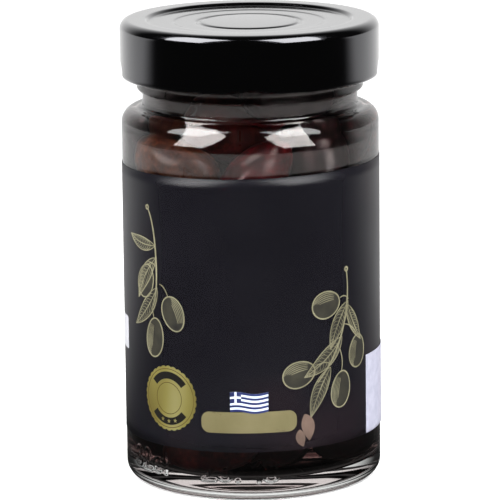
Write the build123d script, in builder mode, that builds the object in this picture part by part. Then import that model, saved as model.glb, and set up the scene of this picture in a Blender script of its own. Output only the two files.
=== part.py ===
from build123d import *
import os
from math import cos, sin, radians, degrees

# A sealed glass jar of olives in brine with a steel lug lid, a wrap label and a paper sticker.
# +Z is up, the origin is the centre of the foot, and the front of the label faces -Y. Millimetres.

# ---- glass jar ----
body_dia = 67.5            # outside of the straight body
rim_height = 121.4         # foot to sealing rim
wall = 2.4                 # body, shoulder and neck wall
base_thickness = 3.4       # glass under the contents, above the top of the push-up
heel_radius = 3.7          # outside rounding into the foot
inner_heel_radius = 5.0    # inside rounding into the floor
foot_width = 2.6           # flat bearing ring the jar stands on
push_up = 1.8              # hollow under the base at its centre
shoulder_start = 94.9      # height where the straight body ends
shoulder_radius = 3.8      # outside rounding of the shoulder
neck_dia = 56.4            # outside of the waist under the finish
neck_fillet = 1.0          # shoulder into neck
finish_start = 103.2       # height of the lower edge of the finish
finish_dia = 59.4          # outside wall of the finish
finish_lip = 1.1           # rounding of the lower edge of the finish
mouth_dia = 54.2           # bore of the finish
rim_round = 0.9            # rounding of both edges of the rim

# ---- lug thread ----
lug_count = 4
thread_depth = 1.7         # how far a thread start stands off the finish wall
thread_height = 2.0        # thickness of a thread start
thread_span = 66.0         # degrees covered by one start
thread_rise = 1.6          # how far a start climbs over its span

# ---- steel lid ----
sheet = 0.4                # steel thickness
skirt_gap = 2.05           # thread crest to the inside of the skirt
lid_height = 15.1          # top of the lid to the bottom of its curl
lid_corner_radius = 2.3    # top edge
curl_radius = 1.2          # outside radius of the rolled hem
curl_turn = 235.0          # degrees the hem is rolled through
recess_clearance = 0.8     # sunk panel to the bore of the finish
recess_slope = 0.8         # radial width of the step from band to panel
panel_drop = 1.05          # raised band to sunk panel
bead_ring_radius = 19.6    # faint stiffening step in the panel
bead_ring_rise = 0.2
step_slope = 0.4           # radial width of each small step
button_radius = 12.6       # safety button
button_groove_width = 1.3  # groove round the button
button_groove_depth = 0.35
button_rise = 0.1          # button above the panel round it
lug_reach = 0.4            # lug tip to the wall of the finish
lug_thickness = 1.6        # height of a lug tip
lug_lift = 0.25            # lug tip above the bottom of the curl
lug_height = 4.0           # height of the pressed-in stretch of skirt at a lug
lug_root_clearance = 0.3   # thread crest to the inside of the lug's root
lug_press = ((13.0, 0.55), (8.0, 1.15))   # half angle in degrees, depth pressed in
thread_clearance = 0.15    # lug to the underside of its thread start

# ---- contents, label and sticker ----
fill_height = 112.4        # level of the brine
contents_clearance = 0.05  # contents to glass
film = 0.12                # label thickness
film_clearance = 0.06      # label to glass
label_bottom = 13.4
label_height = 71.8
label_gap = 7.0            # opening between the two ends of the label, at the back
sticker_width = 43.0
sticker_height = 21.0
sticker_bottom = 13.5
sticker_start = 69.5       # degrees from the front to the sticker's first edge, towards +X
paper = 0.1
paper_clearance = 0.05     # sticker to label

# ---- derived sizes ----
body_r = body_dia / 2
neck_r = neck_dia / 2
finish_r = finish_dia / 2
mouth_r = mouth_dia / 2
inner_r = body_r - wall
throat_r = neck_r - wall
shoulder_top = shoulder_start + shoulder_radius
foot_r = body_r - heel_radius
floor_height = push_up + base_thickness
thread_r = finish_r + thread_depth
lid_r = thread_r + skirt_gap + sheet
lid_top = rim_height + sheet
lid_bottom = lid_top - lid_height
curl_z = lid_bottom + curl_radius
recess_r = mouth_r - recess_clearance
panel_z = lid_top - panel_drop
lug_tip_r = finish_r + lug_reach
lug_top = lid_bottom + lug_lift + lug_thickness
thread_bottom = lug_top + thread_clearance
label_r = body_r + film_clearance
sticker_r = label_r + film + paper_clearance
front = -90.0              # azimuth of the front, from +X
back = 90.0


def radial_plane(azimuth):
    """Upright plane through the axis: its x runs outwards at this azimuth, its y is up."""
    a = radians(azimuth)
    return Plane(origin=(0, 0, 0), x_dir=(cos(a), sin(a), 0), z_dir=(sin(a), -cos(a), 0))


def arc_degrees(length, radius):
    """Angle that an arc of this length takes at this radius."""
    return degrees(length / radius)


def inside_outline():
    """Inside of the glass, from the edge of the rim down through the throat to the centre of the floor."""
    inner_shoulder_top = shoulder_top - wall / 2
    Polyline(
        (mouth_r, rim_height - rim_round),
        (mouth_r, finish_start + wall),
        (throat_r, finish_start),
        (throat_r, inner_shoulder_top),
    )
    ThreePointArc(
        (throat_r, inner_shoulder_top),
        (
            throat_r + (inner_r - throat_r) * 0.72,
            shoulder_start + (inner_shoulder_top - shoulder_start) * 0.45,
        ),
        (inner_r, shoulder_start - shoulder_radius),
    )
    floor_curve_z = floor_height + inner_heel_radius
    Line((inner_r, shoulder_start - shoulder_radius), (inner_r, floor_curve_z))
    CenterArc((inner_r - inner_heel_radius, floor_curve_z), inner_heel_radius, 0, -90)
    Line((inner_r - inner_heel_radius, floor_height), (0, floor_height))


# ---- one thread start, climbing round the finish ----
# It is rooted a little inside the wall, so that it fuses along its whole length.
thread_root = 0.5
thread_z = thread_bottom + thread_height / 2
with BuildPart() as thread_start:
    with BuildLine() as thread_path:
        Helix(
            pitch=thread_rise * 360 / thread_span,
            height=thread_rise,
            radius=finish_r,
            center=(0, 0, thread_z),
        )
    with BuildSketch(Plane(origin=(finish_r, 0, thread_z), x_dir=(1, 0, 0), z_dir=(0, 1, 0))):
        with Locations(((thread_depth - thread_root) / 2, 0)):
            Rectangle(thread_depth + thread_root, thread_height)
    sweep(path=thread_path.line, is_frenet=True)

# ---- glass jar: one revolved wall with four thread starts ----
with BuildPart() as jar:
    with BuildSketch(Plane.XZ):
        with BuildLine():
            # underside: push-up, bearing ring and heel
            ThreePointArc(
                (0, push_up),
                ((foot_r - foot_width) / 2, push_up * 0.75),
                (foot_r - foot_width, 0),
            )
            Line((foot_r - foot_width, 0), (foot_r, 0))
            CenterArc((foot_r, heel_radius), heel_radius, -90, 90)
            # body and shoulder
            Line((body_r, heel_radius), (body_r, shoulder_start))
            CenterArc((body_r - shoulder_radius, shoulder_start), shoulder_radius, 0, 90)
            Line((body_r - shoulder_radius, shoulder_top), (neck_r + neck_fillet, shoulder_top))
            CenterArc((neck_r + neck_fillet, shoulder_top + neck_fillet), neck_fillet, -90, -90)
            # neck and the outside of the finish
            Line((neck_r, shoulder_top + neck_fillet), (neck_r, finish_start))
            Line((neck_r, finish_start), (finish_r - finish_lip, finish_start))
            CenterArc((finish_r - finish_lip, finish_start + finish_lip), finish_lip, -90, 90)
            Line((finish_r, finish_start + finish_lip), (finish_r, rim_height - rim_round))
            # rim
            CenterArc((finish_r - rim_round, rim_height - rim_round), rim_round, 0, 90)
            Line((finish_r - rim_round, rim_height), (mouth_r + rim_round, rim_height))
            CenterArc((mouth_r + rim_round, rim_height - rim_round), rim_round, 90, 90)
            inside_outline()
            Line((0, floor_height), (0, push_up))
        make_face()
    revolve(axis=Axis.Z)
    with PolarLocations(0, lug_count, start_angle=front):
        add(thread_start.part)
jar.part.label = "jar"

# ---- contents: brine with olives, filling the glass up to its level ----
with BuildPart() as contents:
    with BuildSketch(Plane.XZ):
        with BuildLine():
            inside_outline()
            Polyline((0, floor_height), (0, rim_height - rim_round), (mouth_r, rim_height - rim_round))
        make_face()
        mirror(about=Plane.YZ)
        offset(amount=-contents_clearance)
        Rectangle(body_r, fill_height, align=(Align.MIN, Align.MIN), mode=Mode.INTERSECT)
    revolve(axis=Axis.Z)
contents.part.label = "contents"

# ---- lid: one drawn sheet with a rolled hem, pressed in at four lugs ----
groove_end = button_radius + button_groove_width
button_z = panel_z + button_rise
groove_z = panel_z - button_groove_depth
outer_panel_z = panel_z + bead_ring_rise
corner_z = lid_top - lid_corner_radius
curl_center = (lid_r - curl_radius, curl_z)
panel_steps = (
    (0, button_z),
    (button_radius, button_z),
    (button_radius + step_slope, groove_z),
    (groove_end - step_slope, groove_z),
    (groove_end, panel_z),
    (bead_ring_radius, panel_z),
    (bead_ring_radius + step_slope, outer_panel_z),
    (recess_r, outer_panel_z),
    (recess_r + recess_slope, lid_top),
    (lid_r - lid_corner_radius, lid_top),
)
curl_end = radians(-curl_turn)
with BuildPart() as lid:
    with BuildSketch(Plane.XZ):
        with BuildLine():
            # outside of the sheet
            Polyline(*panel_steps)
            CenterArc((lid_r - lid_corner_radius, corner_z), lid_corner_radius, 0, 90)
            Line((lid_r, corner_z), (lid_r, curl_z))
            CenterArc(curl_center, curl_radius, 0, -curl_turn)
            # cut edge of the steel, then the inside of the sheet
            Line(
                (curl_center[0] + curl_radius * cos(curl_end), curl_z + curl_radius * sin(curl_end)),
                (
                    curl_center[0] + (curl_radius - sheet) * cos(curl_end),
                    curl_z + (curl_radius - sheet) * sin(curl_end),
                ),
            )
            CenterArc(curl_center, curl_radius - sheet, 0, -curl_turn)
            Line((lid_r - sheet, curl_z), (lid_r - sheet, corner_z))
            CenterArc((lid_r - lid_corner_radius, corner_z), lid_corner_radius - sheet, 0, 90)
            Polyline(*[(r, z - sheet) for r, z in panel_steps])
            Line((0, button_z - sheet), (0, button_z))
        make_face()
    revolve(axis=Axis.Z)
    lug_root_z = lid_bottom + lug_height
    widest = lug_press[0][0]
    for i in range(lug_count):
        azimuth = front + i * 360 / lug_count
        # the hem opens here, and the folded lug fills the opening
        with BuildSketch(radial_plane(azimuth - widest)):
            with Locations((lug_tip_r, lid_bottom)):
                Rectangle(lid_r - lug_tip_r, lug_height, align=(Align.MIN, Align.MIN))
        revolve(axis=Axis.Z, revolution_arc=2 * widest, mode=Mode.SUBTRACT)
        with BuildSketch(radial_plane(azimuth - widest)):
            with BuildLine():
                Polyline(
                    (lug_tip_r, lid_bottom + lug_lift),
                    (lug_tip_r, lug_top),
                    (thread_r + lug_root_clearance, lug_top),
                    (lid_r - sheet, lug_root_z),
                    (lid_r, lug_root_z),
                    (lid_r, curl_z),
                )
                CenterArc(curl_center, curl_radius, 0, -90)
                Line((curl_center[0], lid_bottom), (lug_tip_r, lid_bottom + lug_lift))
            make_face()
        revolve(axis=Axis.Z, revolution_arc=2 * widest)
        # the skirt leans inwards over the lug, deepest at its middle
        for half_angle, depth in lug_press:
            with BuildSketch(radial_plane(azimuth - half_angle)):
                with BuildLine():
                    Polyline(
                        (lid_r, lug_root_z),
                        (lid_r - depth, lid_bottom - sheet),
                        (lid_r + sheet, lid_bottom - sheet),
                        (lid_r + sheet, lug_root_z),
                        close=True,
                    )
                make_face()
            revolve(axis=Axis.Z, revolution_arc=2 * half_angle, mode=Mode.SUBTRACT)
lid.part.label = "lid"

# ---- label: a film round the body, open at the back ----
half_gap = arc_degrees(label_gap, label_r) / 2
with BuildPart() as label:
    with BuildSketch(radial_plane(back + half_gap)):
        with Locations((label_r, label_bottom)):
            Rectangle(film, label_height, align=(Align.MIN, Align.MIN))
    revolve(axis=Axis.Z, revolution_arc=360 - 2 * half_gap)
label.part.label = "label"

# ---- sticker: a paper tag over the label, on the +X side ----
with BuildPart() as sticker:
    with BuildSketch(radial_plane(front + sticker_start)):
        with Locations((sticker_r, sticker_bottom)):
            Rectangle(paper, sticker_height, align=(Align.MIN, Align.MIN))
    revolve(axis=Axis.Z, revolution_arc=arc_degrees(sticker_width, sticker_r))
sticker.part.label = "sticker"

os.makedirs("parts", exist_ok=True)
for piece in (jar, contents, lid, label, sticker):
    export_step(piece.part, f"parts/{piece.part.label}.step")
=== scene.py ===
from math import atan2, cos, hypot, pi, radians, sin

import bpy
import numpy as np
from mathutils import Matrix, Vector, noise


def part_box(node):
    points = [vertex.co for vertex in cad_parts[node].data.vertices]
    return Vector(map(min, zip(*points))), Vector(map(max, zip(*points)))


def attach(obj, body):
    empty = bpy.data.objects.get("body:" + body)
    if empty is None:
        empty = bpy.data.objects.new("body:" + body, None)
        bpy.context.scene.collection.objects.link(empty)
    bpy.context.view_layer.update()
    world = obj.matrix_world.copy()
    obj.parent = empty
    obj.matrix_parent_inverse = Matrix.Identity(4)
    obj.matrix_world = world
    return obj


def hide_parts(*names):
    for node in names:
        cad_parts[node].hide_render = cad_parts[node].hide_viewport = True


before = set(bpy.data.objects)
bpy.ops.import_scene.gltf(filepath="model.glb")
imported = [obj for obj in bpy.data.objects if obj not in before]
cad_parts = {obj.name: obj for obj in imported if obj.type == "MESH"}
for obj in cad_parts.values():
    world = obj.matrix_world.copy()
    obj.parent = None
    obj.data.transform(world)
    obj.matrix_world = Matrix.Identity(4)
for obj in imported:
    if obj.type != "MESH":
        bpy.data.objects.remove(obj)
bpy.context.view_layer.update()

# A sealed jar of olives: glass, brine, olives, steel lid, film label with its print, and a paper sticker.
# Shapes are worked out in millimetres from the frame's boxes and turned into metres when a mesh is made.
MM = 0.001
JAR_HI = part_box("jar")[1] / MM
LID_LO, LID_HI = (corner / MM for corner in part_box("lid"))
LABEL_LO, LABEL_HI = (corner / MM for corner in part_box("label"))
STICKER_LO, STICKER_HI = (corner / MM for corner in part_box("sticker"))
CONTENTS_LO, CONTENTS_HI = (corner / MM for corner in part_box("contents"))
FRONT = radians(-90.0)          # azimuth of the label's front, from +X

# ---- glass, mm ----
BODY_R = JAR_HI.x
RIM_Z = JAR_HI.z
WALL = 2.4
HEEL_R = 3.7
FOOT_WIDTH = 2.6
PUSH_UP = 1.8
FLOOR_Z = CONTENTS_LO.z - 0.05
INNER_HEEL_R = 5.0
SHOULDER_Z = 94.9
SHOULDER_R = 3.8
NECK_R = 28.2
NECK_FILLET = 1.0
FINISH_Z = 103.2
FINISH_R = 29.7
FINISH_LIP = 1.1
MOUTH_R = 27.1
RIM_ROUND = 0.9
INNER_R = BODY_R - WALL
THROAT_R = NECK_R - WALL
SHOULDER_TOP = SHOULDER_Z + SHOULDER_R
LEVEL_Z = CONTENTS_HI.z
THROAT_RISE = 0.8               # the inside's shoulder curve starts this far up the throat
BRINE_OVERLAP = 0.06            # brine reaches this far into the wall, so that no air shows

# ---- lid, mm ----
LID_R = LID_HI.x
LID_TOP = LID_HI.z
LID_BOTTOM = LID_LO.z
SHEET = 0.4
LID_CORNER = 2.3
CURL_R = 1.2
RECESS_R = 26.3
RECESS_SLOPE = 0.8
PANEL_Z = LID_TOP - 1.05
RING_R = 19.6
BUTTON_R = 12.6
GROOVE_WIDTH = 1.3
GROOVE_DEPTH = 0.35
LUG_COUNT = 4
LUG_HALF = radians(12.5)
LUG_PRESS = 1.5
LUG_HEIGHT = 4.2

# ---- label and sticker, mm ----
FILM = 0.07
INK = 0.02                      # thickness of printed ink
LABEL_R = -LABEL_LO.x - FILM - 3 * INK   # inside of the film; the ink stays inside the CAD's label
LABEL_GAP = 7.0
SKEW_TOP = 0.022                # the label sits slightly askew: rise of its edges for each mm towards +X
SKEW_BOTTOM = 0.012
PAPER = 0.1

rng = np.random.default_rng(7)


# ---------------------------------------------------------------- curves and meshes
def arc(cx, cz, radius, start, end, steps):
    """Points of an arc in the (r, z) plane, angles in degrees."""
    angles = np.radians(np.linspace(start, end, steps))
    return [(cx + radius * cos(a), cz + radius * sin(a)) for a in angles]


def run(start, end, steps):
    """Evenly spaced points from start to end, without the last one."""
    t = np.linspace(0.0, 1.0, steps, endpoint=False)
    return [(start[0] + (end[0] - start[0]) * s, start[1] + (end[1] - start[1]) * s) for s in t]


def bezier(points, steps):
    """Points of a Bezier curve of any degree."""
    points = np.array(points, float)
    out = []
    for t in np.linspace(0.0, 1.0, steps):
        level = points
        while len(level) > 1:
            level = level[:-1] * (1 - t) + level[1:] * t
        out.append(level[0])
    return np.array(out)


def add_mesh(name, verts, faces, material, smooth=True, replaces=()):
    """A mesh piece from points in millimetres, riding on the one body."""
    mesh = bpy.data.meshes.new(name)
    mesh.from_pydata([tuple(v) for v in np.asarray(verts, float) * MM], [], faces)
    mesh.validate()
    mesh.materials.append(material)
    if smooth:
        mesh.polygons.foreach_set("use_smooth", [True] * len(mesh.polygons))
    piece = bpy.data.objects.new(name, mesh)
    bpy.context.scene.collection.objects.link(piece)
    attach(piece, "root")
    if replaces:
        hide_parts(*replaces)
    return piece


def lathe(profile, angles):
    """Closed surface of revolution. The profile starts and ends on the axis."""
    verts, rings, faces = [], [], []
    for r, z in profile:
        if r < 1e-6:
            rings.append([len(verts)] * len(angles))
            verts.append((0.0, 0.0, z))
        else:
            rings.append(list(range(len(verts), len(verts) + len(angles))))
            verts.extend((r * cos(a), r * sin(a), z) for a in angles)
    count = len(angles)
    for low, high in zip(rings[:-1], rings[1:]):
        for i in range(count):
            j = (i + 1) % count
            corners = [low[i], low[j], high[j], high[i]]
            face = [c for k, c in enumerate(corners) if c != corners[k - 1]]
            if len(face) > 2:
                faces.append(face)
    return np.array(verts), faces


def even_angles(count):
    return FRONT + np.linspace(0.0, 2 * pi, count, endpoint=False)


# ---------------------------------------------------------------- node materials
class Nodes:
    """A short way to build a node material round one Principled shader."""

    def __init__(self, name):
        self.material = bpy.data.materials.new(name)
        self.material.use_nodes = True
        self.tree = self.material.node_tree
        self.shader = self.tree.nodes["Principled BSDF"]
        self.output = self.tree.nodes["Material Output"]
        self.place = self.tree.nodes.new("ShaderNodeTexCoord").outputs["Object"]

    def set(self, **values):
        for key, value in values.items():
            self.shader.inputs[key.replace("_", " ")].default_value = value

    def link(self, output, key):
        self.tree.links.new(output, self.shader.inputs[key])

    def noise(self, scale, detail=3.0, roughness=0.55, stretch=None):
        source = self.place
        if stretch:
            mapping = self.tree.nodes.new("ShaderNodeMapping")
            mapping.inputs["Scale"].default_value = stretch
            self.tree.links.new(source, mapping.inputs["Vector"])
            source = mapping.outputs["Vector"]
        node = self.tree.nodes.new("ShaderNodeTexNoise")
        node.inputs["Scale"].default_value = scale
        node.inputs["Detail"].default_value = detail
        node.inputs["Roughness"].default_value = roughness
        self.tree.links.new(source, node.inputs["Vector"])
        return node.outputs["Fac"]

    def ramp(self, fac, stops):
        node = self.tree.nodes.new("ShaderNodeValToRGB")
        ramp = node.color_ramp
        while len(ramp.elements) < len(stops):
            ramp.elements.new(0.5)
        for element, (at, color) in zip(ramp.elements, stops):
            element.position = at
            element.color = (*color, 1.0)
        self.tree.links.new(fac, node.inputs["Fac"])
        return node.outputs["Color"]

    def span(self, fac, low, high):
        node = self.tree.nodes.new("ShaderNodeMapRange")
        node.inputs["To Min"].default_value = low
        node.inputs["To Max"].default_value = high
        self.tree.links.new(fac, node.inputs["Value"])
        return node.outputs["Result"]

    def mix(self, fac, a, b, blend="MIX"):
        node = self.tree.nodes.new("ShaderNodeMix")
        node.data_type = "RGBA"
        node.blend_type = blend
        for key, value in ((0, fac), (6, a), (7, b)):
            if hasattr(value, "default_value"):
                self.tree.links.new(value, node.inputs[key])
            elif key:
                node.inputs[key].default_value = (*value, 1.0)
            else:
                node.inputs[key].default_value = value
        return node.outputs[2]

    def bump(self, fac, distance_mm, strength=1.0):
        node = self.tree.nodes.new("ShaderNodeBump")
        node.inputs["Distance"].default_value = distance_mm * MM
        node.inputs["Strength"].default_value = strength
        self.tree.links.new(fac, node.inputs["Height"])
        self.link(node.outputs["Normal"], "Normal")

    def absorb(self, color, density):
        node = self.tree.nodes.new("ShaderNodeVolumeAbsorption")
        node.inputs["Color"].default_value = (*color, 1.0)
        node.inputs["Density"].default_value = density
        self.tree.links.new(node.outputs["Volume"], self.output.inputs["Volume"])


def srgb(r, g, b):
    """Linear colour of a colour given as 0-255 sRGB."""
    def one(c):
        c /= 255.0
        return c / 12.92 if c <= 0.04045 else ((c + 0.055) / 1.055) ** 2.4
    return (one(r), one(g), one(b))


def glass_material():
    m = Nodes("clear_glass")
    m.set(Transmission_Weight=1.0, IOR=1.5, Roughness=0.0)
    tint = m.ramp(m.noise(30.0), [(0.3, (0.955, 0.975, 0.955)), (0.7, (0.975, 0.985, 0.97))])
    m.link(tint, "Base Color")
    m.bump(m.noise(55.0, detail=1.0), 0.012)
    return m.material


def brine_material():
    m = Nodes("brine")
    m.set(Transmission_Weight=1.0, IOR=1.34, Roughness=0.0)
    m.link(m.ramp(m.noise(40.0), [(0.3, (0.93, 0.8, 0.8)), (0.7, (0.97, 0.87, 0.86))]), "Base Color")
    m.set(Specular_IOR_Level=0.1)
    m.absorb(srgb(150, 40, 38), 45.0)
    return m.material


def olive_material():
    m = Nodes("olive_skin")
    tint = m.tree.nodes.new("ShaderNodeAttribute")
    tint.attribute_name = "tint"
    patch = m.ramp(m.noise(120.0, detail=5.0), [(0.35, (0.35, 0.3, 0.38)), (0.62, (1.3, 1.15, 1.1))])
    speck = m.ramp(m.noise(900.0, detail=2.0), [(0.45, (0.8, 0.8, 0.8)), (0.75, (1.5, 1.3, 1.2))])
    m.link(m.mix(1.0, m.mix(1.0, tint.outputs["Color"], patch, "MULTIPLY"), speck, "MULTIPLY"), "Base Color")
    m.link(m.span(m.noise(260.0), 0.22, 0.4), "Roughness")
    m.set(IOR=1.45, Subsurface_Weight=0.08, Subsurface_Scale=0.002)
    m.bump(m.noise(420.0, detail=3.0), 0.12, 0.5)
    return m.material


def lid_material():
    m = Nodes("black_lacquer")
    m.link(m.ramp(m.noise(18.0), [(0.35, srgb(58, 58, 61)), (0.65, srgb(66, 66, 70))]), "Base Color")
    m.link(m.span(m.noise(35.0), 0.13, 0.2), "Roughness")
    m.set(Metallic=1.0, Coat_Weight=1.0, Coat_Roughness=0.06, Coat_IOR=1.5)
    m.bump(m.noise(700.0, detail=2.0), 0.004, 0.5)
    return m.material


def film_material():
    m = Nodes("label_film")
    stops = [(0.3, srgb(17, 16, 22)), (0.52, srgb(24, 23, 29)), (0.7, srgb(38, 27, 32))]
    m.link(m.ramp(m.noise(14.0), stops), "Base Color")
    m.link(m.span(m.noise(60.0), 0.3, 0.42), "Roughness")
    m.set(Alpha=0.86, IOR=1.45)
    m.bump(m.noise(45.0, detail=2.0), 0.01)
    return m.material


def ink_material(name, dark, light, scale=160.0, rough=(0.4, 0.55), metallic=0.0, detail=4.0):
    m = Nodes(name)
    m.link(m.ramp(m.noise(scale, detail=detail), [(0.35, dark), (0.68, light)]), "Base Color")
    m.link(m.span(m.noise(scale * 2), *rough), "Roughness")
    m.set(Metallic=metallic)
    m.bump(m.noise(scale * 4), 0.01, 0.4)
    return m.material


def foil_material():
    m = Nodes("gold_foil")
    streak = m.noise(55.0, detail=2.0, stretch=(1.0, 1.0, 0.25))
    stops = [(0.3, srgb(146, 126, 62)), (0.5, srgb(206, 194, 112)), (0.7, srgb(246, 240, 178))]
    m.link(m.ramp(streak, stops), "Base Color")
    m.link(m.span(m.noise(240.0), 0.28, 0.42), "Roughness")
    m.set(Metallic=0.75)
    m.bump(m.noise(500.0), 0.01, 0.5)
    return m.material


def painted_shade_paper_material():
    m = Nodes("sticker_paper")
    fibres = m.noise(500.0, detail=6.0)
    # painted shade: the white paper is coloured the grey lavender it shows in shade; the noise adds its
    # fibres
    m.link(m.ramp(fibres, [(0.35, srgb(164, 164, 182)), (0.65, srgb(178, 178, 194))]), "Base Color")
    m.set(Roughness=0.75)
    m.bump(m.noise(1500.0, detail=4.0), 0.02, 0.5)
    return m.material


# ---------------------------------------------------------------- glass
GLYPHS = {
    "1": [[(0.15, 0.78), (0.45, 1.0), (0.45, 0.0)]],
    "2": [bezier([(0.05, 0.75), (0.1, 1.25), (0.75, 1.05), (0.6, 0.6), (0.4, 0.35), (0.02, 0.0)], 12).tolist()
          + [(0.62, 0.0)]],
    "3": [bezier([(0.08, 0.85), (0.3, 1.15), (0.75, 0.95), (0.55, 0.52), (0.28, 0.54)], 9).tolist(),
          bezier([(0.28, 0.54), (0.7, 0.55), (0.75, 0.05), (0.3, -0.15), (0.04, 0.16)], 9).tolist()],
    "8": [[(0.33 + 0.24 * sin(t), 0.76 + 0.23 * cos(t)) for t in np.linspace(0, 2 * pi, 14)],
          [(0.33 + 0.3 * sin(t), 0.27 + 0.27 * cos(t)) for t in np.linspace(0, 2 * pi, 14)]],
    "c": [[(0.3 + 0.26 * cos(t), 0.32 + 0.31 * sin(t)) for t in np.linspace(0.9, 2 * pi - 0.9, 12)]],
    "l": [[(0.15, 1.0), (0.15, 0.0)]],
    ".": [[(0.1, 0.02), (0.12, 0.02)]],
}
GLYPH_STEP = {"1": 0.72, "2": 0.85, "3": 0.85, "8": 0.85, "c": 0.72, "l": 0.35, ".": 0.4}
HEEL_MARKS = (("32cl", -38.6), ("23.", -13.6), ("18", -1.0))   # text, arc length of its left end
MARK_HEIGHT = 5.2
MARK_BASE_Z = 5.7
MARK_PROUD = 0.16
MARK_STROKE = 0.42              # half width of a raised stroke


def mark_strokes():
    """Every raised stroke on the heel, as line pieces in (arc length, height)."""
    pieces = []
    for text, left in HEEL_MARKS:
        for letter in text:
            for line in GLYPHS[letter]:
                points = [(left + x * MARK_HEIGHT, MARK_BASE_Z + y * MARK_HEIGHT) for x, y in line]
                pieces.extend(zip(points[:-1], points[1:]))
            left += GLYPH_STEP[letter] * MARK_HEIGHT
    return np.array(pieces)


def raise_marks(verts):
    """Pushes the outer wall out along the strokes of the heel marks."""
    radius = np.hypot(verts[:, 0], verts[:, 1])
    outer = (radius > BODY_R - 0.01) & (verts[:, 2] > MARK_BASE_Z - 1.5)
    outer &= verts[:, 2] < MARK_BASE_Z + MARK_HEIGHT + 1.5
    index = np.where(outer)[0]
    u = BODY_R * np.arctan2(verts[index, 0], -verts[index, 1])
    points = np.c_[u, verts[index, 2]]
    a, b = mark_strokes()[:, 0], mark_strokes()[:, 1]
    along = b - a
    t = np.einsum("psk,sk->ps", points[:, None] - a[None], along) / np.maximum((along ** 2).sum(1), 1e-9)
    nearest = a[None] + np.clip(t, 0, 1)[..., None] * along[None]
    distance = np.sqrt(((points[:, None] - nearest) ** 2).sum(2)).min(1)
    lift = np.clip((MARK_STROKE + 0.25 - distance) / 0.5, 0, 1)
    lift = MARK_PROUD * lift * lift * (3 - 2 * lift)
    scale = (BODY_R + lift) / radius[index]
    verts[index, 0] *= scale
    verts[index, 1] *= scale


def inside_profile(grow=0.0):
    """Inside of the glass from the mouth down to the middle of the floor, moved out by grow."""
    inner_top = SHOULDER_TOP - WALL / 2 + grow
    curve_z = SHOULDER_Z - SHOULDER_R
    mouth, throat, body = MOUTH_R + grow, THROAT_R + grow, INNER_R + grow
    points = run((mouth, RIM_Z - RIM_ROUND), (mouth, FINISH_Z + WALL), 5)
    points += run((mouth, FINISH_Z + WALL), (throat, FINISH_Z), 3)
    points += run((throat, FINISH_Z), (throat, inner_top + THROAT_RISE), 4)
    shoulder = bezier([(throat, inner_top + THROAT_RISE), (throat + 0.1, inner_top - THROAT_RISE / 2),
                       (body - 0.2, inner_top), (body, curve_z)], 16)
    points += [tuple(p) for p in shoulder]
    points += run((body, curve_z), (body, FLOOR_Z + INNER_HEEL_R), 24)[1:]
    points += arc(INNER_R - INNER_HEEL_R, FLOOR_Z + INNER_HEEL_R, INNER_HEEL_R + grow, 0, -90, 12)
    points += run((INNER_R - INNER_HEEL_R, FLOOR_Z - grow), (0.0, FLOOR_Z - grow), 8)[1:]
    return points + [(0.0, FLOOR_Z - grow)]


def make_glass(material):
    foot_r = BODY_R - HEEL_R
    profile = [(0.0, PUSH_UP)]
    hollow_r = foot_r - FOOT_WIDTH
    profile += [(r, PUSH_UP * (1 - (r / hollow_r) ** 2.4)) for r in np.linspace(3, hollow_r, 12)]
    profile += arc(foot_r, HEEL_R, HEEL_R, -90, 0, 14)
    mark_low, mark_high = MARK_BASE_Z - 1.0, MARK_BASE_Z + MARK_HEIGHT + 1.0
    profile += run((BODY_R, mark_low), (BODY_R, mark_high), 32)
    profile += run((BODY_R, mark_high), (BODY_R, SHOULDER_Z), 16)
    profile += arc(BODY_R - SHOULDER_R, SHOULDER_Z, SHOULDER_R, 0, 90, 16)
    profile += arc(NECK_R + NECK_FILLET, SHOULDER_TOP + NECK_FILLET, NECK_FILLET, -90, -180, 8)
    profile += arc(NECK_R + 0.4, FINISH_Z - 0.4, 0.4, 180, 90, 5)
    profile += arc(FINISH_R - FINISH_LIP, FINISH_Z + FINISH_LIP, FINISH_LIP, -90, 0, 8)[1:]
    profile += run((FINISH_R, FINISH_Z + FINISH_LIP + 0.5), (FINISH_R, RIM_Z - RIM_ROUND), 6)
    profile += arc(FINISH_R - RIM_ROUND, RIM_Z - RIM_ROUND, RIM_ROUND, 0, 90, 6)
    profile += arc(MOUTH_R + RIM_ROUND, RIM_Z - RIM_ROUND, RIM_ROUND, 90, 180, 6)[:-1]
    profile += inside_profile()
    fine = np.radians(np.arange(-72.0, 72.0, 0.42))
    coarse = np.radians(np.arange(72.0, 288.0, 2.0))
    verts, faces = lathe(profile, FRONT + np.r_[fine, coarse])
    raise_marks(verts)
    return add_mesh("glass_jar", verts, faces, material, replaces=("jar",))


# ---------------------------------------------------------------- brine and olives
def make_brine(material):
    wall_points = [(r, z) for r, z in inside_profile(BRINE_OVERLAP) if z < LEVEL_Z - 0.3]
    top_r = MOUTH_R + BRINE_OVERLAP
    profile = [(0.0, LEVEL_Z - 0.6)] + run((4.0, LEVEL_Z - 0.6), (top_r - 2.5, LEVEL_Z - 0.6), 6)
    profile += [(top_r - 1.2, LEVEL_Z - 0.5), (top_r - 0.4, LEVEL_Z - 0.25), (top_r, LEVEL_Z)]
    verts, faces = lathe((profile + wall_points)[::-1], even_angles(180))
    return add_mesh("brine", verts, faces, material, replaces=("contents",))


OLIVE_COUNT = 62
OLIVE_LENGTH = (22.5, 27.0)
OLIVE_WIDTH = (14.2, 16.4)
BALLS = (-0.58, 0.0, 0.58)      # places of an olive's three packing balls, in shares of its half length
BALL_SIZE = (0.8, 1.0, 0.74)    # their radii, in shares of its half width
PACK_STEPS = 700


def inside_radius(z):
    """Radius of the room inside the glass at a height."""
    profile = np.array(inside_profile())[::-1]
    return np.interp(z, profile[:, 1], profile[:, 0])


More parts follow.
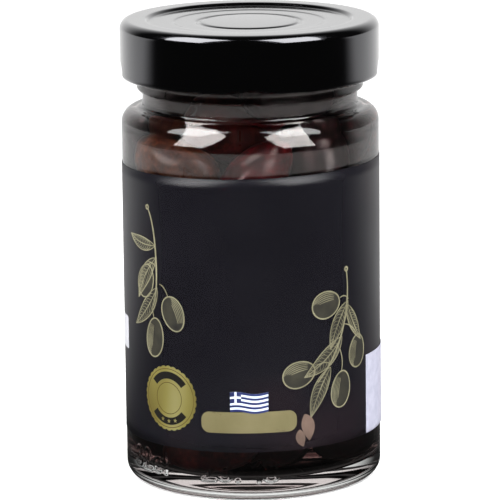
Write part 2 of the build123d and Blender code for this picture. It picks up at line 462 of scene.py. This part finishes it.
def pack_olives():
    """Settles the olives in the jar as sets of three balls that push apart and sink."""
    length = rng.uniform(*OLIVE_LENGTH, OLIVE_COUNT)
    width = rng.uniform(*OLIVE_WIDTH, OLIVE_COUNT)
    height = np.linspace(FLOOR_Z + 8, LEVEL_Z - 10, OLIVE_COUNT)
    turn = rng.uniform(0, 2 * pi, OLIVE_COUNT)
    reach = 23 * np.sqrt(rng.uniform(0.05, 1, OLIVE_COUNT))
    center = np.c_[reach * np.cos(turn), reach * np.sin(turn), height]
    axis = rng.normal(size=(OLIVE_COUNT, 3))
    axis[:, 2] *= 0.8
    axis /= np.linalg.norm(axis, axis=1)[:, None]
    offset = np.array(BALLS)[None] * length[:, None] / 2
    size = np.array(BALL_SIZE)[None] * width[:, None] / 2
    balls = center[:, None] + offset[..., None] * axis[:, None]
    owner = np.repeat(np.arange(OLIVE_COUNT), 3)
    radius = size.ravel()
    need = radius[:, None] + radius[None]
    apart = owner[:, None] != owner[None]
    for step in range(PACK_STEPS):
        flat = balls.reshape(-1, 3)
        gap = flat[:, None] - flat[None]
        distance = np.sqrt((gap ** 2).sum(2)) + 1e-9
        push = np.where(apart & (distance < need), (need - distance) / distance, 0)
        flat = flat + 0.36 * (gap * push[..., None]).sum(1)
        flat[:, 2] -= 0.02 if step < PACK_STEPS - 120 else 0.0
        flat[:, 2] = np.clip(flat[:, 2], FLOOR_Z + radius + 0.1, LEVEL_Z - radius - 0.8)
        room = inside_radius(flat[:, 2]) - radius - 0.15
        room = np.minimum(room, inside_radius(flat[:, 2] + radius * 0.7) - radius * 0.72)
        out = np.hypot(flat[:, 0], flat[:, 1])
        flat[:, :2] *= np.minimum(1, room / np.maximum(out, 1e-9))[:, None]
        balls = flat.reshape(-1, 3, 3)
        center = balls.mean(1)
        axis = balls[:, 2] - balls[:, 0]
        axis /= np.linalg.norm(axis, axis=1)[:, None]
        center = (balls - offset[..., None] * axis[:, None]).mean(1)
        balls = center[:, None] + offset[..., None] * axis[:, None]
    return center, axis, length, width


def olive_shape(length, width, seed):
    """One pitted olive, lying along +X: a pointed egg with a pit hole at its blunt end and faint wrinkles."""
    rings, sides = 26, 28
    verts, faces = [], []
    for i in range(rings + 1):
        t = i / rings
        x = -cos(pi * t) * length / 2
        swell = sin(pi * t) ** 0.86 * (1.0 + 0.16 * cos(pi * t))
        swell *= 1.0 - 0.1 * max(0.0, (t - 0.7) / 0.3)
        if t < 0.07:
            x = -length / 2 + (0.07 - t) * length * 0.55 + 0.35
        for k in range(sides):
            a = 2 * pi * k / sides
            y, z = cos(a) * swell * width / 2, sin(a) * swell * width / 2
            dent = noise.noise(Vector((x * 0.11 + seed * 7.3, y * 0.14, z * 0.14)))
            wrinkle = noise.noise(Vector((x * 0.16 + seed, y * 0.55, z * 0.55)))
            grow = 1.0 + 0.07 * dent + 0.018 * wrinkle
            verts.append((x, y * grow, z * grow))
    for i in range(rings):
        for k in range(sides):
            j = (k + 1) % sides
            faces.append((i * sides + k, i * sides + j, (i + 1) * sides + j, (i + 1) * sides + k))
    faces.append(tuple(range(sides))[::-1])
    faces.append(tuple(rings * sides + k for k in range(sides)))
    return np.array(verts), faces


OLIVE_TINTS = (
    (0.55, (0.018, 0.0075, 0.011)),   # near black
    (0.8, (0.036, 0.009, 0.012)),     # dark wine
    (0.92, (0.085, 0.016, 0.016)),    # red-brown
    (1.0, (0.13, 0.048, 0.024)),      # brown
)
PICKED_TINTS = (                      # place to look at in mm, colour of the olive nearest to it
    ((-24.0, -20.0, 91.0), (0.21, 0.085, 0.04)),
    ((-2.0, -29.0, 96.0), (0.17, 0.008, 0.014)),
    ((14.0, -27.0, 92.0), (0.03, 0.012, 0.014)),
    ((-6.0, -30.0, 12.0), (0.12, 0.035, 0.035)),
    ((14.0, -27.0, 18.0), (0.06, 0.02, 0.02)),
)


def make_olives(material):
    center, axis, length, width = pack_olives()
    tints = []
    for pick in rng.uniform(size=OLIVE_COUNT):
        tints.append(next(color for limit, color in OLIVE_TINTS if pick <= limit))
    for place, color in PICKED_TINTS:
        tints[int(np.argmin(((center - np.array(place)) ** 2).sum(1)))] = color
    verts, faces, colors = [], [], []
    count = 0
    for i in range(OLIVE_COUNT):
        shape, ring_faces = olive_shape(length[i], width[i], i + 1)
        turn = Vector((1, 0, 0)).rotation_difference(Vector(axis[i])).to_matrix()
        verts.append(shape @ np.array(turn).T + center[i])
        faces.extend([tuple(v + count for v in face) for face in ring_faces])
        colors.append(np.tile((*tints[i], 1.0), (len(shape), 1)))
        count += len(shape)
    points = np.vstack(verts)
    out = np.hypot(points[:, 0], points[:, 1])
    room = inside_radius(points[:, 2]) - 0.12
    points[:, :2] *= np.minimum(1, room / np.maximum(out, 1e-9))[:, None]
    points[:, 2] = np.clip(points[:, 2], FLOOR_Z + 0.15, LEVEL_Z - 0.9)
    piece = add_mesh("olives", points, faces, material)
    tint = piece.data.attributes.new("tint", "FLOAT_COLOR", "POINT")
    tint.data.foreach_set("color", np.vstack(colors).ravel())
    return piece


# ---------------------------------------------------------------- lid
def make_lid(material):
    ring_z = PANEL_Z + 0.2
    groove_r = BUTTON_R + GROOVE_WIDTH
    crest_r = RECESS_R + RECESS_SLOPE
    outside = [(0.0, PANEL_Z + 0.22)]
    outside += [(r, PANEL_Z + 0.22 - 0.12 * (r / BUTTON_R) ** 2) for r in (3, 6, 8, 10, 11.5)]
    outside += bezier([(BUTTON_R - 0.2, PANEL_Z + 0.1), (BUTTON_R + 0.2, PANEL_Z + 0.05),
                       (BUTTON_R + 0.2, PANEL_Z - GROOVE_DEPTH), (BUTTON_R + 0.65, PANEL_Z - GROOVE_DEPTH),
                       (groove_r - 0.1, PANEL_Z - GROOVE_DEPTH), (groove_r, PANEL_Z),
                       (groove_r + 0.5, PANEL_Z)], 12).tolist()
    outside += run((15.5, PANEL_Z), (RING_R - 0.3, PANEL_Z), 4)
    outside += bezier([(RING_R - 0.3, PANEL_Z), (RING_R, PANEL_Z),
                       (RING_R + 0.2, ring_z), (RING_R + 0.6, ring_z)], 6).tolist()
    outside += run((21.5, ring_z), (RECESS_R - 0.4, ring_z), 4)
    outside += bezier([(RECESS_R - 0.4, ring_z), (RECESS_R + 0.3, ring_z),
                       (crest_r - 0.45, LID_TOP), (crest_r + 0.35, LID_TOP)], 10).tolist()
    outside += run((28.2, LID_TOP), (LID_R - LID_CORNER, LID_TOP), 4)
    outside += arc(LID_R - LID_CORNER, LID_TOP - LID_CORNER, LID_CORNER, 90, 0, 14)
    outside += run((LID_R, LID_TOP - LID_CORNER - 0.4), (LID_R, LID_BOTTOM + LUG_HEIGHT), 6)
    outside += run((LID_R, LID_BOTTOM + LUG_HEIGHT), (LID_R, LID_BOTTOM + CURL_R), 8)
    curl = (LID_R - CURL_R, LID_BOTTOM + CURL_R)
    outside += arc(*curl, CURL_R, 0, -235, 26)
    inside = arc(*curl, CURL_R - SHEET, -235, 0, 18)
    inside += run((LID_R - SHEET, LID_BOTTOM + CURL_R + 0.3), (LID_R - SHEET, LID_TOP - LID_CORNER), 8)
    inside += arc(LID_R - LID_CORNER, LID_TOP - LID_CORNER, LID_CORNER - SHEET, 0, 90, 8)
    inner_z = PANEL_Z - SHEET
    inside += [(crest_r, LID_TOP - SHEET), (RECESS_R, ring_z - SHEET), (RING_R + 0.5, ring_z - SHEET),
               (RING_R, inner_z), (groove_r, inner_z), (BUTTON_R + 0.7, inner_z - GROOVE_DEPTH),
               (BUTTON_R, inner_z), (0.0, inner_z)]
    angles = even_angles(360)
    verts, faces = lathe([tuple(p) for p in (outside + inside)][::-1], angles)
    # the skirt is pressed in at each lug, deepest at its foot
    azimuth = np.arctan2(verts[:, 1], verts[:, 0]) - FRONT
    sector = 2 * pi / LUG_COUNT
    from_lug = np.abs((azimuth + sector / 2) % sector - sector / 2)
    across = np.clip(1 - from_lug / LUG_HALF, 0, 1)
    across = across * across * (3 - 2 * across)
    down = np.clip((LID_BOTTOM + LUG_HEIGHT - verts[:, 2]) / LUG_HEIGHT, 0, 1) ** 1.2
    radius = np.hypot(verts[:, 0], verts[:, 1])
    skirt = radius > FINISH_R + 0.5
    pressed = np.where(skirt, LUG_PRESS * across * down, 0)
    verts[:, :2] *= ((radius - pressed) / np.maximum(radius, 1e-9))[:, None]
    verts[:, 2] += np.where(skirt, 0.35 * across * down, 0)
    return add_mesh("lid_shell", verts, faces, material, replaces=("lid",))


# ---------------------------------------------------------------- label, print and sticker
def on_label(u, z, lift):
    """Point on the label: arc length from its front, height, and height above the film's inside."""
    angle = u / LABEL_R
    x = (LABEL_R + lift) * sin(angle)
    share = (z - LABEL_LO.z) / (LABEL_HI.z - LABEL_LO.z)
    return (x, -(LABEL_R + lift) * cos(angle), z + (SKEW_BOTTOM + (SKEW_TOP - SKEW_BOTTOM) * share) * x)


class Ink:
    """Gathers closed thin shells on the label into one mesh."""

    def __init__(self, low=FILM, thick=INK):
        self.low, self.high = low, low + thick
        self.verts, self.faces = [], []

    def grid(self, points):
        """A sheet of ink over a grid of (u, z) points, with its underside and its edges."""
        rows, columns = len(points), len(points[0])
        start = len(self.verts)
        for lift in (self.high, self.low):
            self.verts.extend(on_label(u, z, lift) for row in points for u, z in row)
        under = start + rows * columns
        at = lambda base, i, j: base + i * columns + j
        for i in range(rows - 1):
            for j in range(columns - 1):
                cell = ((i, j), (i, j + 1), (i + 1, j + 1), (i + 1, j))
                self.faces.append([at(start, *corner) for corner in cell])
                self.faces.append([at(under, *corner) for corner in (cell[0], cell[3], cell[2], cell[1])])
        edge = [(0, j) for j in range(columns)] + [(i, columns - 1) for i in range(1, rows)]
        edge += [(rows - 1, j) for j in range(columns - 2, -1, -1)] + [(i, 0) for i in range(rows - 2, 0, -1)]
        for (i, j), (k, l) in zip(edge, edge[1:] + edge[:1]):
            self.faces.append([at(start, k, l), at(start, i, j), at(under, i, j), at(under, k, l)])

    def fill(self, outline, center=None, rings=4):
        """Ink inside a closed outline that can be seen whole from its centre."""
        outline = np.asarray(outline, float)
        middle = outline.mean(0) if center is None else np.asarray(center, float)
        start = len(self.verts)
        count = len(outline)
        for lift in (self.high, self.low):
            self.verts.append(on_label(*middle, lift))
            for ring in range(1, rings + 1):
                for point in middle + (outline - middle) * ring / rings:
                    self.verts.append(on_label(*point, lift))
        under = start + 1 + rings * count
        for base, flip in ((start, False), (under, True)):
            for j in range(count):
                k = (j + 1) % count
                triangle = [base, base + 1 + j, base + 1 + k]
                self.faces.append(triangle[::-1] if flip else triangle)
                for ring in range(rings - 1):
                    a, b = base + 1 + ring * count, base + 1 + (ring + 1) * count
                    quad = [a + j, b + j, b + k, a + k]
                    self.faces.append(quad[::-1] if flip else quad)
        top, low = start + 1 + (rings - 1) * count, under + 1 + (rings - 1) * count
        for j in range(count):
            k = (j + 1) % count
            self.faces.append([top + j, low + j, low + k, top + k])

    def stroke(self, points, width, taper=0.3):
        """A drawn line, thinner towards its ends."""
        points = np.asarray(points, float)
        ahead = np.gradient(points, axis=0)
        side = np.c_[-ahead[:, 1], ahead[:, 0]] / np.maximum(np.hypot(*ahead.T), 1e-9)[:, None]
        t = np.linspace(0, 1, len(points))
        half = width / 2 * (taper + (1 - taper) * np.sin(pi * np.clip(t, 0.02, 0.98)) ** 0.5)
        self.grid([[tuple(p - s * h), tuple(p + s * h)] for p, s, h in zip(points, side, half)])

    def ring(self, center, inner, outer, start=0.0, end=360.0, steps=72):
        """A band of a circle between two radii."""
        a = np.radians(np.linspace(start, end, steps))
        c = np.asarray(center, float)
        self.grid([[tuple(c + r * np.array((cos(t), sin(t)))) for r in (inner, outer)] for t in a])

    def make(self, name, material, slot="label_film"):
        return add_mesh(name, self.verts, self.faces, material, smooth=False)


def rounded(center, width, height, radius, steps=8):
    """Outline of a rectangle with rounded corners."""
    points = []
    for sx, sz, start in ((1, 1, 0), (-1, 1, 90), (-1, -1, 180), (1, -1, 270)):
        cx = center[0] + sx * (width / 2 - radius)
        cz = center[1] + sz * (height / 2 - radius)
        points += arc(cx, cz, radius, start, start + 90, steps)
    return dense(points)


def dense(points, step=1.2):
    """The closed outline with points added, so that it follows the round of the jar."""
    out = []
    for a, b in zip(points, points[1:] + points[:1]):
        out += run(a, b, max(1, int(hypot(b[0] - a[0], b[1] - a[1]) / step)))
    return out


def leaf_frame(base, angle, length, bend):
    """Midrib of a leaf as points, and the side direction at each."""
    a = radians(angle)
    ahead, side = np.array((cos(a), sin(a))), np.array((-sin(a), cos(a)))
    rib = bezier([base, base + ahead * length * 0.5 + side * bend, base + ahead * length], 15)
    along = np.gradient(rib, axis=0)
    return rib, np.c_[-along[:, 1], along[:, 0]] / np.hypot(*along.T)[:, None]


def draw_leaf(lines, body, base, angle, length, width, bend=1.0):
    """An engraved leaf: a dim body, a bright outline and midrib, and short veins."""
    rib, side = leaf_frame(np.array(base, float), angle, length, bend)
    t = np.linspace(0, 1, len(rib))
    half = width / 2 * np.sin(pi * t ** 0.85) ** 0.9
    left, right = rib + side * half[:, None], rib - side * half[:, None]
    body.fill(np.vstack([left, right[-2:0:-1]]), center=rib[7])
    for edge in (left, right):
        lines.stroke(edge, 0.3)
    lines.stroke(rib, 0.26)
    for k in range(2, 13):
        for edge in (left, right):
            near, far = edge[min(k + 1, 14)], edge[min(k + 2, 14)]
            lines.stroke([rib[k], rib[k] * 0.35 + near * 0.65, rib[k] * 0.12 + far * 0.88], 0.15)


def draw_olive(lines, body, center, angle, length, width):
    """An engraved olive: a dim body, a bright outline, and hatching down its shaded side."""
    a = radians(angle)
    ahead, side = np.array((cos(a), sin(a))), np.array((-sin(a), cos(a)))
    center = np.array(center, float)
    around = np.linspace(0, 2 * pi, 33)[:-1]
    outline = [center + ahead * cos(t) * length / 2 + side * sin(t) * width / 2 * (1 - 0.08 * cos(t))
               for t in around]
    body.fill(outline)
    closed = np.array(outline + outline[:1])
    lines.stroke(closed, 0.36, taper=1.0)
    for k in range(1, 6):
        shrink = 1 - k * 0.15
        along, across = length / 2 * (0.98 - 0.03 * k), width / 2 * shrink
        part = np.linspace(0.25 * pi, (0.95 - 0.05 * k) * pi, 10)
        lines.stroke([center + ahead * cos(t) * along + side * sin(t) * across for t in part], 0.17)


def draw_stem(lines, points, width=0.5):
    lines.stroke(bezier(points, 16), width, taper=0.6)


def make_sprigs(line_ink, body_ink, pale_ink):
    lines, body = Ink(low=FILM + INK), Ink()
    # right sprig: the twig comes down from its cut end and curves to the left
    draw_stem(lines, [(27.2, 58.5), (28.6, 50.0), (26.0, 44.0), (25.0, 38.0), (17.5, 30.5)], 0.55)
    lines.ring((27.1, 59.0), 0.25, 0.75, steps=20)
    draw_leaf(lines, body, (27.8, 50.5), -118, 13.5, 3.9, -1.4)
    draw_leaf(lines, body, (27.6, 49.5), -62, 11.5, 3.2, -0.8)
    draw_leaf(lines, body, (25.4, 41.5), -142, 15.0, 4.4, 1.6)
    draw_leaf(lines, body, (21.5, 34.0), -116, 14.0, 4.0, -1.2)
    draw_olive(lines, body, (20.3, 50.6), 10, 8.6, 7.0)
    draw_olive(lines, body, (31.4, 36.6), 82, 8.6, 6.4)
    draw_olive(lines, body, (12.2, 33.2), 14, 9.0, 6.8)
    draw_olive(lines, body, (25.0, 27.6), 80, 9.6, 6.4)
    draw_stem(lines, [(27.9, 51.0), (26.6, 52.6), (24.8, 51.8)], 0.3)
    draw_stem(lines, [(26.4, 44.6), (29.2, 44.0), (31.2, 41.2)], 0.3)
    draw_stem(lines, [(21.8, 34.6), (19.4, 36.4), (16.6, 34.6)], 0.3)
    draw_stem(lines, [(24.6, 38.4), (26.0, 35.0), (25.2, 32.6)], 0.3)
    # left sprig
    draw_stem(lines, [(-30.6, 76.0), (-27.0, 70.0), (-28.2, 62.0), (-26.4, 56.0), (-29.0, 50.5)], 0.55)
    lines.ring((-30.9, 76.3), 0.25, 0.75, steps=20)
    draw_leaf(lines, body, (-28.0, 66.4), 172, 12.0, 3.4, 1.6)
    draw_leaf(lines, body, (-27.8, 63.2), -124, 14.0, 4.0, -1.6)
    draw_leaf(lines, body, (-27.4, 55.4), -132, 15.0, 4.2, 1.8)
    draw_olive(lines, body, (-32.2, 56.6), 68, 9.2, 6.6)
    draw_olive(lines, body, (-22.0, 49.0), -66, 9.4, 6.8)
    draw_olive(lines, body, (-28.6, 42.0), 84, 10.4, 6.4)
    draw_stem(lines, [(-28.0, 61.0), (-29.6, 62.6), (-31.0, 60.8)], 0.3)
    draw_stem(lines, [(-26.6, 56.4), (-24.8, 56.4), (-23.6, 53.4)], 0.3)
    draw_stem(lines, [(-29.0, 50.8), (-29.6, 49.2), (-28.8, 47.2)], 0.3)
    body.make("sprig_bodies", body_ink)
    lines.make("sprig_lines", line_ink)
    # two small pale leaves at the foot of the right sprig
    pale, veins = Ink(), Ink(low=FILM + INK)
    draw_leaf(veins, pale, (13.6, 22.6), -80, 7.2, 3.4, 0.8)
    draw_leaf(veins, pale, (12.2, 18.6), -78, 4.6, 2.3, -0.5)
    pale.make("pale_leaves", pale_ink)
    veins.make("pale_leaf_veins", pale_ink)


SEAL = (-23.8, 26.4)
SEAL_R = 8.7
SCALLOPS = 30


def make_seal(foil, dark, relief):
    disc = Ink()
    angles = np.linspace(0, 2 * pi, SCALLOPS * 8, endpoint=False)
    radius = SEAL_R - 0.32 + 0.32 * np.abs(np.sin(angles * SCALLOPS / 2)) ** 0.8
    disc.fill([(SEAL[0] + r * cos(a), SEAL[1] + r * sin(a)) for r, a in zip(radius, angles)], rings=8)
    disc.make("seal_foil", foil)
    rings = Ink(low=FILM + INK, thick=0.03)
    for at in (SEAL_R - 0.95, 4.1):
        rings.ring(SEAL, at, at + 0.18)
    rings.make("seal_rings", relief)
    bands = Ink(low=FILM + INK)
    bands.ring(SEAL, 5.2, 7.1, 38, 142)
    bands.ring(SEAL, 5.2, 7.1, 218, 322)
    bands.make("seal_bands", dark)
    stars = Ink(low=FILM + 2 * INK)
    for at in (250, 270, 290):
        middle = (SEAL[0] + 6.15 * cos(radians(at)), SEAL[1] + 6.15 * sin(radians(at)))
        points = [(middle[0] + r * sin(k * pi / 5), middle[1] + r * cos(k * pi / 5))
                  for k, r in zip(range(10), (0.62, 0.26) * 5)]
        stars.fill(points, center=middle, rings=1)
    stars.make("seal_stars", foil)


PILL = ((-1.2, 21.3), 25.2, 5.6, 2.2)          # centre, width, height, corner radius
SIDE_FIELD = ((-50.0, 40.4), 13.0, 8.8, 0.8)


def make_pill(ink):
    pill = Ink()
    pill.fill(rounded(*PILL), rings=6)
    pill.make("pill_field", ink)


FLAG = (-6.0, 3.9, 24.0, 29.2)  # left, right, bottom, top


def make_flag(white, blue):
    left, right, bottom, top = FLAG
    stripe = (top - bottom) / 9

    def wave(u):
        return 0.32 * sin((u - left) / (right - left) * 2 * pi + 0.5)

    def bar(ink, u0, u1, z0, z1):
        columns = np.linspace(u0, u1, max(2, int((u1 - u0) / 0.4)))
        ink.grid([[(u, z0 + wave(u)) for u in columns], [(u, z1 + wave(u)) for u in columns]])

    cloth = Ink()
    bar(cloth, left, right, bottom, top)
    cloth.make("flag_white", white)
    print_blue = Ink(low=FILM + INK)
    canton = left + 5 * stripe
    for k in range(0, 9, 2):
        start = left if k < 4 else canton
        bar(print_blue, start, right, bottom + k * stripe, bottom + (k + 1) * stripe)
    for du, dz in ((0, 0), (3, 0), (0, 3), (3, 3)):
        u0, z0 = left + du * stripe, bottom + (4 + dz) * stripe
        bar(print_blue, u0, u0 + 2 * stripe, z0, z0 + 2 * stripe)
    print_blue.make("flag_blue", blue)


def make_field(white):
    field = Ink()
    field.fill(rounded(*SIDE_FIELD), rings=6)
    field.make("white_field", white)


def wrapped_sheet(u0, u1, z0, z1, low, thick, step=0.8):
    sheet = Ink(low=low, thick=thick)
    columns = np.linspace(u0, u1, int((u1 - u0) / step))
    sheet.grid([[(u, z) for u in columns] for z in np.linspace(z0, z1, 24)])
    return sheet


def make_label(material):
    half = pi * LABEL_R - LABEL_GAP / 2
    film = wrapped_sheet(-half, half, LABEL_LO.z, LABEL_HI.z, 0.0, FILM)
    return add_mesh("label_wrap", film.verts, film.faces, material, replaces=("label",))


STICKER_END = radians(142)      # from the front
STICKER_INSET = 0.02            # keeps the paper inside the frame's box


def make_sticker(material):
    start = LABEL_R * atan2(STICKER_LO.x, -STICKER_LO.y)
    low = STICKER_HI.x - LABEL_R - PAPER - STICKER_INSET
    tag = wrapped_sheet(start, LABEL_R * STICKER_END, STICKER_LO.z, STICKER_HI.z, low, PAPER)
    return add_mesh("sticker_tag", tag.verts, tag.faces, material, replaces=("sticker",))


# ---------------------------------------------------------------- stage, light and camera
def stage_material(name):
    material = bpy.data.materials.new(name)
    material.use_nodes = True
    material.node_tree.nodes.clear()
    return material, material.node_tree.nodes, material.node_tree.links


FLOOR_HALF = 6.0                # metres


def rectangle(width, depth):
    """Points, edges and the one face of a flat rectangle."""
    w, d = width / 2, depth / 2
    return [(-w, -d, 0), (w, -d, 0), (w, d, 0), (-w, d, 0)], [], [(0, 1, 2, 3)]


def smooth_ramp(nodes, links, source, start, end, low, high):
    """A soft step of a value from low to high between start and end."""
    ramp = nodes.new("ShaderNodeMapRange")
    ramp.interpolation_type = "SMOOTHSTEP"
    for key, value in (("From Min", start), ("From Max", end), ("To Min", low), ("To Max", high)):
        ramp.inputs[key].default_value = value
    links.new(source, ramp.inputs["Value"])
    return ramp.outputs["Result"]


def make_floor():
    mesh = bpy.data.meshes.new("floor")
    mesh.from_pydata(*rectangle(2 * FLOOR_HALF, 2 * FLOOR_HALF))
    floor = bpy.data.objects.new("floor", mesh)
    bpy.context.scene.collection.objects.link(floor)
    material, nodes, links = stage_material("pale_floor")
    matt = nodes.new("ShaderNodeBsdfDiffuse")
    matt.inputs["Color"].default_value = (0.9, 0.9, 0.9, 1)
    glow = nodes.new("ShaderNodeEmission")
    path = nodes.new("ShaderNodeLightPath")
    level = nodes.new("ShaderNodeMath")
    level.operation = "MULTIPLY"
    level.inputs[1].default_value = 0.35
    links.new(path.outputs["Is Camera Ray"], level.inputs[0])
    links.new(level.outputs[0], glow.inputs["Strength"])
    both = nodes.new("ShaderNodeAddShader")
    links.new(matt.outputs[0], both.inputs[0])
    links.new(glow.outputs[0], both.inputs[1])
    # gloss sees a dim floor in front of the jar and a white one behind it
    place = nodes.new("ShaderNodeTexCoord").outputs["Object"]
    split = nodes.new("ShaderNodeSeparateXYZ")
    links.new(place, split.inputs[0])
    mirror = nodes.new("ShaderNodeEmission")
    links.new(smooth_ramp(nodes, links, split.outputs["Y"], 0.0, 0.25, 0.02, 0.9), mirror.inputs["Strength"])
    seen = nodes.new("ShaderNodeMixShader")
    links.new(path.outputs["Is Glossy Ray"], seen.inputs[0])
    links.new(both.outputs[0], seen.inputs[1])
    links.new(mirror.outputs[0], seen.inputs[2])
    # glass sees the floor close round the jar in its shade
    flat = nodes.new("ShaderNodeVectorMath")
    flat.operation = "LENGTH"
    links.new(place, flat.inputs[0])
    shade = smooth_ramp(nodes, links, flat.outputs["Value"], 0.05, 0.3, 0.03, 0.9)
    under = nodes.new("ShaderNodeEmission")
    links.new(shade, under.inputs["Strength"])
    through = nodes.new("ShaderNodeMixShader")
    links.new(path.outputs["Is Transmission Ray"], through.inputs[0])
    links.new(seen.outputs[0], through.inputs[1])
    links.new(under.outputs[0], through.inputs[2])
    links.new(through.outputs[0], nodes.new("ShaderNodeOutputMaterial").inputs["Surface"])
    mesh.materials.append(material)


def make_world():
    """White behind the jar, dim in front of it for gloss and glass, and a soft even fill."""
    world = bpy.data.worlds.new("studio")
    bpy.context.scene.world = world
    world.use_nodes = True
    nodes, links = world.node_tree.nodes, world.node_tree.links
    back = nodes["Background"]
    path = nodes.new("ShaderNodeLightPath")
    split = nodes.new("ShaderNodeSeparateXYZ")
    links.new(nodes.new("ShaderNodeTexCoord").outputs["Generated"], split.inputs[0])
    behind = smooth_ramp(nodes, links, split.outputs["Y"], 0.4, 0.95, 0.02, 0.9)

    def pick(flag, low, high):
        node = nodes.new("ShaderNodeMix")
        links.new(flag, node.inputs[0])
        for key, value in ((2, low), (3, high)):
            if hasattr(value, "default_value"):
                links.new(value, node.inputs[key])
            else:
                node.inputs[key].default_value = value
        return node.outputs[0]

    level = pick(path.outputs["Is Glossy Ray"], 0.42, behind)
    level = pick(path.outputs["Is Transmission Ray"], level, behind)
    level = pick(path.outputs["Is Camera Ray"], level, 1.0)
    links.new(level, back.inputs["Strength"])
    back.inputs["Color"].default_value = (1, 1, 1, 1)


def aim(thing, place, target):
    thing.location = place
    thing.rotation_euler = (Vector(target) - Vector(place)).to_track_quat("-Z", "Y").to_euler()


TARGET = (0.0, 0.0, 0.06)
LAMP_DISTANCE = 1.1
PANEL_DISTANCE = 1.12


def on_sphere(azimuth, elevation, distance):
    """Place at an azimuth from the front towards +X, an elevation and a distance from the target."""
    a, e = radians(azimuth), radians(elevation)
    return (distance * cos(e) * sin(a), -distance * cos(e) * cos(a), TARGET[2] + distance * sin(e))


def make_softbox(name, azimuth, elevation, watts, size, panel, shine):
    """A soft lamp, with a larger panel at the same place that only gloss sees."""
    place = on_sphere(azimuth, elevation, LAMP_DISTANCE)
    lamp = bpy.data.lights.new(name, "AREA")
    lamp.shape = "RECTANGLE"
    lamp.size, lamp.size_y = size
    lamp.energy = watts
    holder = bpy.data.objects.new(name, lamp)
    holder.visible_glossy = False
    bpy.context.scene.collection.objects.link(holder)
    aim(holder, place, TARGET)
    mesh = bpy.data.meshes.new(name + "_panel")
    mesh.from_pydata(*rectangle(*panel))
    material, nodes, links = stage_material(name + "_shine")
    path = nodes.new("ShaderNodeLightPath")
    glow = nodes.new("ShaderNodeEmission")
    glow.inputs["Strength"].default_value = shine
    mix = nodes.new("ShaderNodeMixShader")
    links.new(path.outputs["Is Glossy Ray"], mix.inputs[0])
    links.new(nodes.new("ShaderNodeBsdfTransparent").outputs[0], mix.inputs[1])
    links.new(glow.outputs[0], mix.inputs[2])
    links.new(mix.outputs[0], nodes.new("ShaderNodeOutputMaterial").inputs["Surface"])
    mesh.materials.append(material)
    screen = bpy.data.objects.new(name + "_panel", mesh)
    bpy.context.scene.collection.objects.link(screen)
    for kind in ("camera", "diffuse", "shadow", "transmission"):
        setattr(screen, "visible_" + kind, False)
    aim(screen, on_sphere(azimuth, elevation, PANEL_DISTANCE), TARGET)


def make_lights():
    make_softbox("softbox_left", -62.0, 42.0, 16.0, (0.6, 0.8), (0.75, 1.0), 8.0)
    make_softbox("softbox_right", 48.0, 42.0, 15.0, (0.6, 0.8), (0.75, 1.0), 8.0)


CAMERA_DISTANCE = 1.03335
CAMERA_ELEVATION = 11.84
CAMERA_ROLL = 0.62              # the jar leans this many degrees counterclockwise
FOCAL = 281.6                   # on a 36 mm sensor
SHIFT = (-0.0032, -0.0021)


def make_camera():
    data = bpy.data.cameras.new("camera")
    data.sensor_width = 36.0
    data.lens = FOCAL
    data.shift_x, data.shift_y = SHIFT
    camera = bpy.data.objects.new("camera", data)
    bpy.context.scene.collection.objects.link(camera)
    place = Vector(on_sphere(0.0, CAMERA_ELEVATION, CAMERA_DISTANCE))
    look = (Vector(TARGET) - place).to_track_quat("-Z", "Y").to_matrix().to_4x4()
    camera.matrix_world = Matrix.Translation(place) @ look @ Matrix.Rotation(radians(-CAMERA_ROLL), 4, "Z")
    bpy.context.scene.camera = camera


make_camera()
make_world()
make_lights()
make_floor()
make_glass(glass_material())
make_brine(brine_material())
make_olives(olive_material())
make_lid(lid_material())
make_label(film_material())
make_sprigs(
    ink_material("sprig_line_ink", srgb(112, 108, 84), srgb(140, 136, 108)),
    ink_material("sprig_body_ink", srgb(36, 35, 33), srgb(56, 54, 44)),
    ink_material("pale_leaf_ink", srgb(96, 78, 68), srgb(120, 98, 86)),
)
make_seal(foil_material(), ink_material("seal_dark_ink", srgb(24, 22, 20), srgb(34, 31, 26)),
          ink_material("seal_relief_ink", srgb(120, 104, 48), srgb(150, 132, 66), metallic=0.6))
make_pill(ink_material("pill_ink", srgb(104, 97, 62), srgb(122, 114, 80), scale=60.0))
make_flag(ink_material("flag_white_ink", srgb(208, 218, 234), srgb(226, 236, 248)),
          ink_material("flag_blue_ink", srgb(26, 36, 84), srgb(38, 52, 112)))
make_field(ink_material("field_ink", srgb(176, 176, 182), srgb(196, 196, 202)))
make_sticker(painted_shade_paper_material())

scene = bpy.context.scene
scene.view_settings.view_transform = "Standard"
